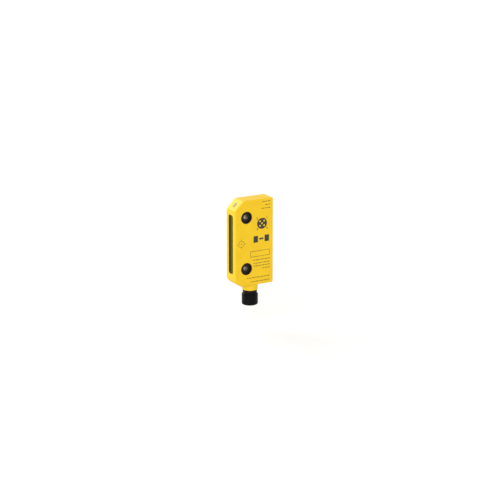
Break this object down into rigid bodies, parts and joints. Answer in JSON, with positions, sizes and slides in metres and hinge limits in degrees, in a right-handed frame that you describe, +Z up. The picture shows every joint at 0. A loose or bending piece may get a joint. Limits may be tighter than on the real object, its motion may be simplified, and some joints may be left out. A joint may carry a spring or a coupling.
{
  "type": "non-contact safety sensor",
  "caption": "Tall flat yellow moulded sensor with a cut corner holding a status lamp, ringed screw holes, a potted side opening and a capped round plug connector below.",
  "frame": {"origin": "on the rear mounting face, midway between the two screw holes", "axes": "+X right, +Y back into the mounting surface, +Z up; the front faces -Y"},
  "size_m": [0.036, 0.0145, 0.0903],
  "materials": {
    "yellow_housing": "fine moulded texture",
    "olive_potting": "cast resin",
    "black_moulding": "fine moulded texture",
    "black_cap": "smooth satin",
    "plated_steel": "turned and plated",
    "lamp_resin": "clear resin, unlit",
    "board_laminate": "solder mask",
    "chip_plastic": "moulded",
    "crystal_can": "pressed can",
    "capacitor_ceramic": "fired",
    "resistor_ceramic": "glazed",
    "copper_winding": "enamelled copper",
    "ferrite": "sintered",
    "gold_contact": "gold plated",
    "seal_rubber": "smooth",
    "lead_brown": "insulated wire",
    "lead_white": "insulated wire",
    "lead_blue": "insulated wire",
    "lead_black": "insulated wire",
    "lead_grey": "insulated wire"
  },
  "bodies": {
    "sensor": {"housing": "yellow_housing", "potting_compound": "olive_potting", "distance_ring_upper": "black_moulding", "distance_ring_lower": "black_moulding", "sleeve_upper": "plated_steel", "sleeve_lower": "plated_steel", "status_lamp": "lamp_resin", "lamp_leads": "plated_steel", "connector_body": "black_moulding", "connector_seal": "seal_rubber", "circuit_board": "board_laminate", "controller_a": "chip_plastic", "controller_b": "chip_plastic", "clock_crystal": "crystal_can", "voltage_regulator": "chip_plastic", "output_transistor_a": "chip_plastic", "output_transistor_b": "chip_plastic", "chip_capacitors": "capacitor_ceramic", "chip_resistors": "resistor_ceramic", "transmitter_coil": "copper_winding", "transmitter_core": "ferrite", "receiver_coil": "copper_winding", "receiver_core": "ferrite", "lead_1": "lead_brown", "lead_2": "lead_white", "lead_3": "lead_blue", "lead_4": "lead_black", "lead_5": "lead_grey", "contact_pin_1": "gold_contact", "contact_pin_2": "gold_contact", "contact_pin_3": "gold_contact", "contact_pin_4": "gold_contact", "contact_pin_5": "gold_contact"},
    "cap": {"protective_cap": "black_cap"}
  },
  "joints": [
    {"name": "cap_pull", "type": "slide", "parent": "sensor", "child": "cap", "axis": [0, 0, -1], "range_m": [0, 0.012]}
  ]
}
